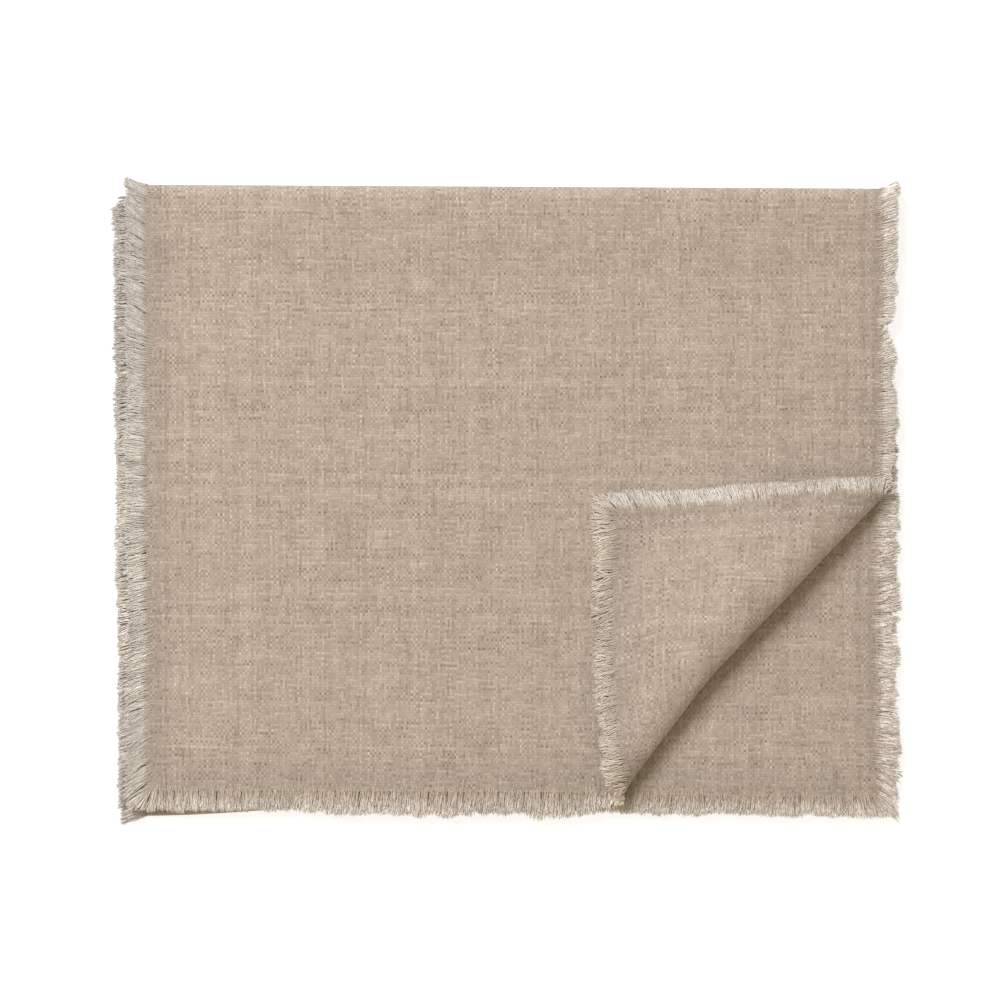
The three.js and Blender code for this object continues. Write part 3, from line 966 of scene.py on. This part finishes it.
@dataclass(frozen=True)
class Bundle:
    """How a yarn parts into strands: how they spread, stray, curl, lift and droop, in mm and in shares."""

    sides: int = 3
    girth_places: tuple[float, ...] = (0.0, 0.4, 0.9)
    girth: tuple[float, ...] = (0.9, 1.1, 0.85)
    spread: tuple[float, float] = (0.95, 1.2)
    flatness: tuple[float, float] = (0.15, 0.45)
    stray: float = 0.8
    bend: float = 1.2
    twist: float = 1.5
    turn_scatter: float = 0.25
    tip_reach: float = 1.04
    tip_round: float = 0.09
    tip_scatter: float = 0.03
    root_scatter: tuple[float, float] = (0.4, 1.15)
    curl: float = 0.5
    curl_scatter: tuple[float, float] = (0.5, 1.5)
    curl_turns: float = 1.1
    curl_lift: float = 0.5
    loose_share: float = 0.14
    loose_spread: float = 1.8
    loose_girth: float = 0.6
    over_share: float = 0.6
    over_lift: float = 0.5
    over_up: tuple[float, float] = (0.0, 0.08)
    over_down: tuple[float, float] = (0.2, 0.9)
    droop: float = 0.5
    droop_bend: float = 1.6
    clearance: float = 1.1
    shade_scatter: float = 0.1


@dataclass(frozen=True)
class Yarns:
    """Loose yarns along an edge, in mm: each one's place on it, root, lean, reach, rise, shade and turn."""

    place: Array
    root: Array
    lean: Array
    reach: Array
    rise: Array
    shade: Array
    turn: Array

    def pick(self, chosen: Array) -> Yarns:
        """The chosen yarns alone, by a mask or by their numbers."""
        return Yarns(*(getattr(self, field.name)[chosen] for field in fields(self)))


@dataclass(frozen=True)
class Parting:
    """Yarns parted into strands of one kind: each strand's foot, directions and own unevenness, in mm."""

    kind: StrandKind
    bundle: Bundle
    foot: Array
    out: Array
    aside: Array
    upward: Array
    off: Array
    turn: Array
    spread: Array
    over: Array
    reach: Array
    inside: Array
    phase: Array
    curl: Array
    lean: Array
    swept: Array
    rise: Array
    lowest: Array

    def middle(self, f: float) -> Array:
        """Middle of each strand.

        Args:
            f: The share of its length, from 0 at its root to 1 at its tip.

        Returns:
            One row of x, y and z for each strand.
        """
        bundle = self.bundle
        wound = self.turn + bundle.twist * f
        wave = 2 * np.pi * bundle.curl_turns * f
        wide = self.off * self.spread * np.interp(f, (0.0, 1.0), bundle.spread)
        side = self.lean * f**bundle.bend + wide * np.cos(wound)
        side = side + self.curl * f * np.sin(wave + self.phase[0])
        lift = self.over * (smoothstep(f, *bundle.over_up) - smoothstep(f, *bundle.over_down))
        lift = lift + wide * np.sin(wound) * np.interp(f, (0.0, 1.0), bundle.flatness)
        lift = lift + bundle.curl_lift * self.curl * f * np.sin(wave + self.phase[1])
        lift = lift + self.rise * f * f - bundle.droop * f**bundle.droop_bend - self.kind.sunk
        away = (self.reach + self.inside) * f - self.inside
        moved = self.out * away[:, None] + self.aside * side[:, None] + self.upward * lift[:, None]
        place = self.foot + moved
        place[:, 1] += self.swept * f**bundle.bend
        place[:, 2] = np.maximum(place[:, 2], self.lowest)
        return place

    def ring(self, f: float) -> list[Array]:
        """Points around each strand.

        Args:
            f: The share of its length, from 0 at its root to 1 at its tip.

        Returns:
            One set of rows of x, y and z for each side.
        """
        middle = self.middle(f)
        thin = np.where(self.spread > 1.0, self.bundle.loose_girth, 1.0)
        radius = self.kind.radius * thin * np.interp(f, self.bundle.girth_places, self.bundle.girth)
        handed = np.sign(np.sum(np.cross(self.aside, self.upward) * self.out, axis=1, keepdims=True))
        points = []
        for angle in np.arange(self.bundle.sides) * 2 * np.pi / self.bundle.sides:
            flat = self.kind.flat * math.sin(angle) * handed * self.upward
            points.append(middle + radius[:, None] * (math.cos(angle) * self.aside + flat))
        return points


@dataclass(frozen=True)
class Strands:
    """Strands of one kind: their rings of points and then their tips, in mm, and each one's shade."""

    kind: StrandKind
    points: Array
    shades: Array


@dataclass
class Fringe:
    """The frayed yarns along one stretch of an edge: soft bundles of strands that lean and cross, in mm."""

    shape: RunnerShape
    node: str
    edge: Edge
    start: float
    end: float
    seed: int
    length: float
    finish: YarnFinish
    # How the yarns are set along the edge.
    pitch: float = 1.6
    place_scatter: float = 0.3
    rooted: tuple[float, float] = (1.0, 4.4)
    root_varies: Unevenness = Unevenness((0.3, 4.0), 0.2)
    laid_bare: float = 0.0
    # How they lean, are combed towards the corners and are swept along the table.
    lean: float = 1.2
    clumped: float = 0.5
    lean_varies: Unevenness = Unevenness((1.0, 16.0), 0.3, (1.0, 4.5))
    combed: float = 0.8
    combed_over: float = 150.0
    corner_lean: float = 8.0
    corner_reach: float = 7.0
    swept: float = 0.0
    swept_from_y: float = -20.0
    swept_over: float = 130.0
    swept_within: tuple[float, float] = (-148.0, 145.5)
    swept_scatter: float = 0.8
    tucked_sweep: float = -2.0
    # How far they reach, by the corners, the roll, the layer and the wear.
    taper: float = 0.0
    reach_varies: Unevenness = Unevenness((0.04, 17.0), 0.02, (0.1, 4.0))
    corner_growth: float = 0.0
    pinched: float = 0.35
    pinched_over: float = 11.0
    tucked_near: float = 1.15
    tucked_far: float = 1.15
    tucked_change: tuple[float, float] = (-20.0, 20.0)
    ragged: float = 0.0
    ragged_over: float = 6.0
    worn_above: float = 0.1
    least_left: float = 0.35
    whole: float = 22.0
    # How they rise and rest, in mm and in layers, and their shade, some of it painted light and shade.
    rise_scatter: float = 0.15
    turned_above: float = 0.9
    resting_above: float = 0.7
    shade_varies: Unevenness = Unevenness((0.12, 25.0), 0.14)
    # Painted light and shade: a yarn's shade changes by this much towards the closed folds, paler above 0
    # and darker below it, for how light falls along the edge.
    painted_light_rise: float = 0.0
    # Painted light: yarns near the start of the roll are made paler, against the shade that they sit in
    # there.
    painted_light_at_roll: float = 0.45
    # How they part into strands.
    shown: StrandKind = SHOWN_STRANDS
    core: StrandKind = CORE_STRANDS
    tucked: StrandKind = TUCKED_STRANDS
    bundle: Bundle = Bundle()

    def seen(self, w: Array) -> Array:
        """Which places on the edge belong to a layer that shows from above.

        Args:
            w: Places along the edge.

        Returns:
            True where the layer shows.
        """
        if not self.edge.is_side:
            return np.ones(w.shape, bool)
        closed = self.shape.route[1]
        return (w < closed.start + closed.run) | (w > self.shape.length - self.laid_bare)

    def table_y(self, w: Array) -> Array:
        """The y of places along the edge."""
        return self.shape.point(*self.edge.at(w, self.shape))[:, 1]

    def uneven(self, w: Array, every: float, rng: np.random.Generator) -> Array:
        """A smooth uneven value along the edge.

        Args:
            w: Places along the edge.
            every: The distance over which it changes.
            rng: The source of unevenness.

        Returns:
            The value at each place, about 0.
        """
        knots = np.arange(self.start - 2 * every, self.end + 3 * every, every)
        return read_table(knots, rng.normal(0.0, 1.0, len(knots)), w)

    def vary(self, w: Array, by: Unevenness, rng: np.random.Generator) -> Array:
        """An uneven value for each yarn.

        Args:
            w: The yarns' places along the edge.
            by: How the value varies.
            rng: The source of unevenness.

        Returns:
            The value of each yarn, about 0.
        """
        amount, every = by.wave
        value = amount * self.uneven(w, every, rng)
        if by.clump:
            amount, every = by.clump
            value = value + amount * self.clumped * self.uneven(w, every, rng)
        return value + by.scatter * rng.normal(0.0, 1.0, len(w))

    def towards_corners(self, w: Array, within: float) -> Array:
        """How near the edge's corners are.

        Args:
            w: Places along the edge.
            within: How far from a corner it is felt.

        Returns:
            A value that falls to -1 at the first corner and rises to 1 at the last.
        """
        half = self.shape.half_width
        first, last = (0.0, self.shape.length) if self.edge.is_side else (-half, half)
        return np.clip(1 - (last - w) / within, 0, 1) - np.clip(1 - (w - first) / within, 0, 1)

    def near_roll(self, w: Array) -> Array:
        """How near the start of the turned corner's roll is.

        Args:
            w: Places along the edge.

        Returns:
            A value that rises from 0 to 1 at the roll, or 0 on an edge that it doesn't meet.
        """
        if self.edge not in (Edge.FIRST, Edge.RIGHT):
            return np.zeros_like(w)
        return np.exp(-(((w - self.shape.roll_start(self.edge)) / self.pinched_over) ** 2))

    def notched(self, w: Array, rng: np.random.Generator) -> Array:
        """How much is left of yarns where the top layer's fringe is worn into notches.

        Args:
            w: The yarns' places along the edge.
            rng: The source of unevenness.

        Returns:
            The share that is left of each yarn, which is 1 near the closed fold and on the other layers.
        """
        worn = np.maximum(self.uneven(w, self.ragged_over, rng) - self.worn_above, 0.0)
        whole_from = self.shape.first_run - self.whole
        worn = worn * (1.0 - smoothstep(w, whole_from, whole_from + self.ragged_over))
        return np.maximum(1.0 - self.ragged * worn, self.least_left)

    def leans(self, w: Array, rng: np.random.Generator) -> Array:
        """How far yarns lean along the edge, together in patches and outwards at the corners.

        Args:
            w: The yarns' places along the edge.
            rng: The source of unevenness.

        Returns:
            The lean of each yarn's tip.
        """
        corner = self.towards_corners(w, self.corner_reach)
        combed = self.combed * self.towards_corners(w, self.combed_over)
        lean = self.lean * self.vary(w, self.lean_varies, rng) + combed
        return lean * (1 - np.abs(corner)) + self.corner_lean * corner

    def reaches(self, w: Array, rng: np.random.Generator) -> Array:
        """How far yarns reach out of the cloth.

        Args:
            w: The yarns' places along the edge.
            rng: The source of unevenness.

        Returns:
            The reach of each yarn.
        """
        tapered = 1 + self.taper * ((w - self.start) / (self.end - self.start) - 0.5)
        reach = self.length * tapered * (1 + self.vary(w, self.reach_varies, rng))
        corner = self.towards_corners(w, self.corner_reach)
        reach = reach * (1 + self.corner_growth * np.maximum(corner, 0.0) ** 2)
        if self.ragged:
            reach = reach * self.notched(w, rng)
        reach = reach * (1 - self.pinched * self.near_roll(w))
        far = smoothstep(self.table_y(w), *self.tucked_change)
        tucked = self.tucked_near + (self.tucked_far - self.tucked_near) * far
        return np.where(self.seen(w), reach, reach * tucked)

    def shades(self, w: Array, rng: np.random.Generator) -> Array:
        """How pale yarns are, with painted light near the roll and painted light and shade towards the
        closed folds.

        Args:
            w: The yarns' places along the edge.
            rng: The source of unevenness.

        Returns:
            The shade of each yarn, about a half.
        """
        # Painted light at the roll, and painted light and shade towards the closed folds.
        shade = 0.5 + self.vary(w, self.shade_varies, rng) + self.painted_light_at_roll * self.near_roll(w)
        return shade + self.painted_light_rise * np.clip(self.table_y(w) / self.swept_over, 0.0, 1.0)

    def yarns(self, rng: np.random.Generator) -> Yarns:
        """The yarns of the stretch, unevenly set.

        Args:
            rng: The source of unevenness.

        Returns:
            The yarns.
        """
        count = round((self.end - self.start) / self.pitch)
        step = (self.end - self.start) / count
        scatter = rng.uniform(-self.place_scatter, self.place_scatter, count)
        place = self.start + (np.arange(count) + 0.5 + scatter) * step
        lean = self.leans(place, rng)
        low, high = self.rooted
        root = low + (high - low) * np.clip(0.5 + self.vary(place, self.root_varies, rng), 0, 1)
        reach = self.reaches(place, rng)
        rise = self.rise_scatter * rng.normal(0, 1, count)
        shade = self.shades(place, rng)
        return Yarns(place, root, lean, reach, rise, shade, rng.uniform(0, 2 * np.pi, count))

    def sweep(self, y: Array, kind: StrandKind, rng: np.random.Generator) -> Array:
        """How far strands are swept along the table, kept within the stack's reach.

        Args:
            y: Where the strands are rooted.
            kind: How they are made.
            rng: The source of unevenness.

        Returns:
            The sweep of each strand's tip along y.
        """
        swept = self.swept * np.clip((y - self.swept_from_y) / self.swept_over, -1.0, 1.0)
        scatter = self.swept_scatter * rng.normal(0, 1, (2, len(y)))
        low, high = (limit - y + off for limit, off in zip(self.swept_within, scatter))
        swept = np.clip(swept, np.minimum(low, 0.0), np.maximum(high, 0.0))
        return np.minimum(swept, self.tucked_sweep) if kind == self.tucked else swept

    def lowest(self, foot: Array) -> Array:
        """How low strands may hang: to the top layer from the turned corner, or else to the table.

        Args:
            foot: Where the strands are rooted.

        Returns:
            The lowest height of each strand.
        """
        above = self.shape.layer_height(self.shape.top_layer + self.turned_above, foot[:, 1])
        resting = self.shape.layer_height(self.shape.top_layer + self.resting_above, foot[:, 1])
        return np.where(foot[:, 2] > above, resting, 0.0)

    def part(self, each: Yarns, slot: Array, kind: StrandKind, rng: np.random.Generator) -> Parting:
        """Gives strands their place in their yarns.

        Args:
            each: The yarn of each strand.
            slot: The number of each strand in its yarn.
            kind: How the strands are made.
            rng: The source of unevenness.

        Returns:
            The parting of the yarns.
        """
        bundle, count = self.bundle, len(slot)
        u, v = self.edge.at(each.place, self.shape)
        foot = self.shape.point(u, v)
        across, along, face = self.shape.directions(u, v)
        off = np.sqrt((slot + rng.uniform(0.0, 1.0, count)) / kind.number)
        turn = each.turn + slot * GOLDEN_ANGLE + bundle.turn_scatter * rng.normal(0, 1, count)
        spread = np.where(rng.random(count) < bundle.loose_share, bundle.loose_spread, 1.0)
        over = np.where(rng.random(count) < bundle.over_share, bundle.over_lift, 0.0)
        tip = bundle.tip_reach - bundle.tip_round * off**2 + bundle.tip_scatter * rng.normal(0, 1, count)
        return Parting(
            kind=kind,
            bundle=bundle,
            foot=foot,
            out=(across if self.edge.is_side else along) * self.edge.sign,
            aside=along if self.edge.is_side else across,
            upward=face * np.where(face[:, 2:] < 0, -1.0, 1.0),
            off=off,
            turn=turn,
            spread=spread,
            over=over,
            reach=kind.reach * each.reach * tip,
            inside=each.root * rng.uniform(*bundle.root_scatter, count),
            phase=rng.uniform(0, 2 * np.pi, (2, count)),
            curl=bundle.curl * spread * rng.uniform(*bundle.curl_scatter, count),
            lean=each.lean + bundle.stray * rng.normal(0, 1, count),
            swept=self.sweep(foot[:, 1], kind, rng),
            rise=each.rise,
            lowest=self.lowest(foot) + bundle.clearance * kind.radius,
        )

    def strands(self, yarns: Yarns, kind: StrandKind, rng: np.random.Generator) -> Strands:
        """Parts yarns into strands.

        Args:
            yarns: The yarns.
            kind: How their strands are made.
            rng: The source of unevenness.

        Returns:
            The strands.
        """
        slot = np.tile(np.arange(kind.number), len(yarns.place))
        each = yarns.pick(np.repeat(np.arange(len(yarns.place)), kind.number))
        parting = self.part(each, slot, kind, rng)
        points = [side for f in kind.rings for side in parting.ring(f)]
        points.append(parting.middle(1.0))
        shades = each.shade + self.bundle.shade_scatter * rng.normal(0, 1, len(slot))
        return Strands(kind, np.stack(points, 1), np.clip(shades, 0, 1))

    def faces(self, rings: int) -> list[tuple[int, ...]]:
        """A strand's faces by the numbers of their points.

        Args:
            rings: How many rings of points the strand has.

        Returns:
            The faces of its root, its sides and its tip.
        """
        sides = self.bundle.sides
        around = [(i, (i + 1) % sides) for i in range(sides)]
        walls = [
            (low + i, low + j, low + sides + j, low + sides + i)
            for low in range(0, (rings - 1) * sides, sides)
            for i, j in around
        ]
        top = (rings - 1) * sides
        tip = [(top + i, top + j, rings * sides) for i, j in around]
        return [tuple(reversed(range(sides))), *walls, *tip]

    def mesh(self, parts: list[Strands]) -> bpy.types.Mesh:
        """Joins strands to one mesh.

        Args:
            parts: The strands, by kind.

        Returns:
            The mesh, with the distance along each strand and its shade in its map.
        """
        points, loops, sizes, places = [], [], [], []
        before = 0
        for part in parts:
            count, size = part.points.shape[:2]
            faces = self.faces(len(part.kind.rings))
            corners = np.concatenate(faces)
            along = np.append(np.repeat(part.kind.rings, self.bundle.sides), 1.0)
            shades = np.repeat(part.shades, len(corners))
            points.append(part.points.reshape(-1, 3) * MM)
            loops.append((before + np.arange(count)[:, None] * size + corners).reshape(-1))
            sizes.append(np.tile([len(face) for face in faces], count))
            places.append(np.column_stack([np.tile(along[corners], count), shades]))
            before += count * size
        starts = np.cumsum(np.concatenate([[0], *sizes]))[:-1]
        mesh = bpy.data.meshes.new(f"{self.node}_yarns")
        mesh.vertices.add(before)
        mesh.vertices.foreach_set("co", np.concatenate(points).astype(np.float32).reshape(-1))
        mesh.loops.add(sum(len(part) for part in loops))
        mesh.loops.foreach_set("vertex_index", np.concatenate(loops).astype(np.int32))
        mesh.polygons.add(len(starts))
        mesh.polygons.foreach_set("loop_start", starts.astype(np.int32))
        yarn_map = mesh.uv_layers.new(name="yarn")
        yarn_map.data.foreach_set("uv", np.concatenate(places).astype(np.float32).reshape(-1))
        mesh.update(calc_edges=True)
        mesh.validate()
        return mesh

    def build(self) -> bpy.types.Object:
        """Makes all the strands of the stretch as one mesh.

        Returns:
            The fringe's object.
        """
        rng = np.random.default_rng(self.seed)
        yarns = self.yarns(rng)
        seen = self.seen(yarns.place)
        parts = [self.strands(yarns.pick(seen), kind, rng) for kind in (self.shown, self.core)]
        if not seen.all():
            parts.append(self.strands(yarns.pick(~seen), self.tucked, rng))
        return show(f"{self.node}_yarns", self.mesh(parts), self.finish.material())


@dataclass
class Studio:
    """A pale floor, soft light from the upper left and a camera straight above, in metres."""

    view_width: float = 0.4577
    view_height: float = 0.0118
    camera_height: float = 3.0
    centre: tuple[float, float] = (-0.0034, -0.0002)
    sensor: float = 36.0
    sight: float = 50.0
    key_place: tuple[float, float, float] = (-1.02, 1.27, 2.1)
    key_size: float = 1.25
    key_power: float = 75.5
    key_colour: Colour = (0.82, 0.888, 1.0)
    sky: float = 0.55
    sky_colour: Colour = (1.0, 0.91, 0.76)
    floor_size: float = 12.0
    floor_colour: Colour = (0.62, 0.62, 0.62)
    floor_roughness: float = 0.9
    floor_glow: float = 0.68
    glow_colour: Colour = (1.0, 1.0, 1.0)

    def build(self) -> None:
        """Makes the floor, light, camera and colour settings."""
        self.floor()
        self.key_light()
        self.camera()
        world = bpy.data.worlds.new("studio")
        world.use_nodes = True
        background = world.node_tree.nodes["Background"]
        background.inputs["Color"].default_value = opaque(self.sky_colour)
        background.inputs["Strength"].default_value = self.sky
        bpy.context.scene.world = world
        settings = bpy.context.scene.view_settings
        settings.view_transform = "Standard"
        settings.look = "None"

    def floor(self) -> None:
        """Makes a wide plain floor."""
        bm = bmesh.new()
        bmesh.ops.create_grid(bm, x_segments=1, y_segments=1, size=self.floor_size / 2)
        mesh = bpy.data.meshes.new("studio_floor")
        bm.to_mesh(mesh)
        bm.free()
        material, nodes = new_material("pale_floor")
        skin = nodes.add("ShaderNodeBsdfPrincipled", ("Base Color", opaque(self.floor_colour)),
                         ("Roughness", self.floor_roughness), ("Specular IOR Level", 0.0),
                         ("Emission Color", opaque(self.glow_colour)),
                         ("Emission Strength", self.floor_glow))
        nodes.add("ShaderNodeOutputMaterial", ("Surface", skin.outputs[0]))
        piece = show("studio_floor", mesh, material)

    def key_light(self) -> None:
        """Makes a square soft light that looks at the runner."""
        data = bpy.data.lights.new("key", "AREA")
        data.size = self.key_size
        data.energy = self.key_power
        data.color = self.key_colour
        lamp = bpy.data.objects.new("key", data)
        x, y, z = self.key_place
        lamp.location = self.key_place
        lamp.rotation_euler = (math.atan2(math.hypot(x, y), z), 0.0, math.atan2(x, -y))
        lamp.visible_camera = False
        bpy.context.scene.collection.objects.link(lamp)

    def camera(self) -> None:
        """Makes a camera straight above the runner, with the closed folds at the top of its picture."""
        data = bpy.data.cameras.new("camera")
        data.sensor_width = self.sensor
        data.lens = self.sensor * (self.camera_height - self.view_height) / self.view_width
        data.clip_end = self.sight
        camera = bpy.data.objects.new("camera", data)
        camera.location = (*self.centre, self.camera_height)
        bpy.context.scene.collection.objects.link(camera)
        bpy.context.scene.camera = camera


@dataclass
class TableRunner:
    """The whole runner: its cloth and the fringes on its edges."""

    shape: RunnerShape
    cloth_finish: ClothFinish

    def fringes(self) -> list[Fringe]:
        """The fringes of the runner, which part where the corner turns back.

        Returns:
            The fringe of each stretch of edge.
        """
        shape = self.shape
        half, whole = shape.half_width, shape.length
        on_end, on_side = shape.roll_start(Edge.FIRST), shape.roll_start(Edge.RIGHT)
        return [
            Fringe(
                shape, "fringe_left", Edge.LEFT, 0.0, whole, seed=3, length=9.4, finish=LEFT_YARNS,
                # Painted shade: the left yarns darken towards the closed folds.
                corner_lean=2.0, swept=6.5, painted_light_rise=-0.5,
            ),
            Fringe(
                shape, "fringe_right", Edge.RIGHT, on_side, whole, seed=5, length=8.0, finish=RIGHT_YARNS,
                laid_bare=165.0, clumped=0.8, corner_lean=7.0, corner_reach=17.0, swept=3.0, taper=0.28,
                # Painted light: the right yarns grow paler towards the closed folds.
                tucked_near=0.9, tucked_far=0.3, ragged=0.45, painted_light_rise=0.3,
            ),
            Fringe(
                shape, "fringe_right_turned", Edge.RIGHT, 0.0, on_side, seed=7, length=7.1,
                finish=TURNED_YARNS, combed=5.0, taper=-0.2,
            ),
            Fringe(
                shape, "fringe_end_top", Edge.FIRST, -half, on_end, seed=11, length=10.5, finish=END_YARNS,
                lean=0.8, taper=0.24,
            ),
            Fringe(
                shape, "fringe_end_turned", Edge.FIRST, on_end, half, seed=13, length=9.6,
                finish=TURNED_END_YARNS, clumped=1.0, bundle=Bundle(stray=1.4, curl=0.9),
            ),
            Fringe(
                shape, "fringe_end_second", Edge.LAST, -half, half, seed=17, length=8.6,
                finish=SECOND_END_YARNS, lean=0.6, corner_lean=7.0, corner_reach=17.0, corner_growth=0.2,
                core=replace(CORE_STRANDS, number=5),
            ),
        ]

    def stand_for(self, piece: bpy.types.Object, node: str) -> None:
        """Puts a piece on the body, in the place of its solid.

        Args:
            piece: The piece.
            node: The solid's node.
        """
        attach(piece, "root")
        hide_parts(node)
        LOG.info("%s: %d points", piece.name, len(piece.data.vertices))

    def build(self) -> None:
        """Makes every piece, puts it on the body and hides the solid that it stands for."""
        cloth = Cloth(self.shape, self.cloth_finish).build()
        self.stand_for(cloth, "cloth")
        for fringe in self.fringes():
            piece = fringe.build()
            self.stand_for(piece, fringe.node)


def main() -> None:
    """Loads the frame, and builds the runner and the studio."""
    logging.basicConfig(level=logging.INFO, format="%(name)s: %(message)s")
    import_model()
    shape = RunnerShape()
    TableRunner(shape, ClothFinish((shape.width, shape.length))).build()
    Studio().build()


if __name__ == "__main__":
    main()
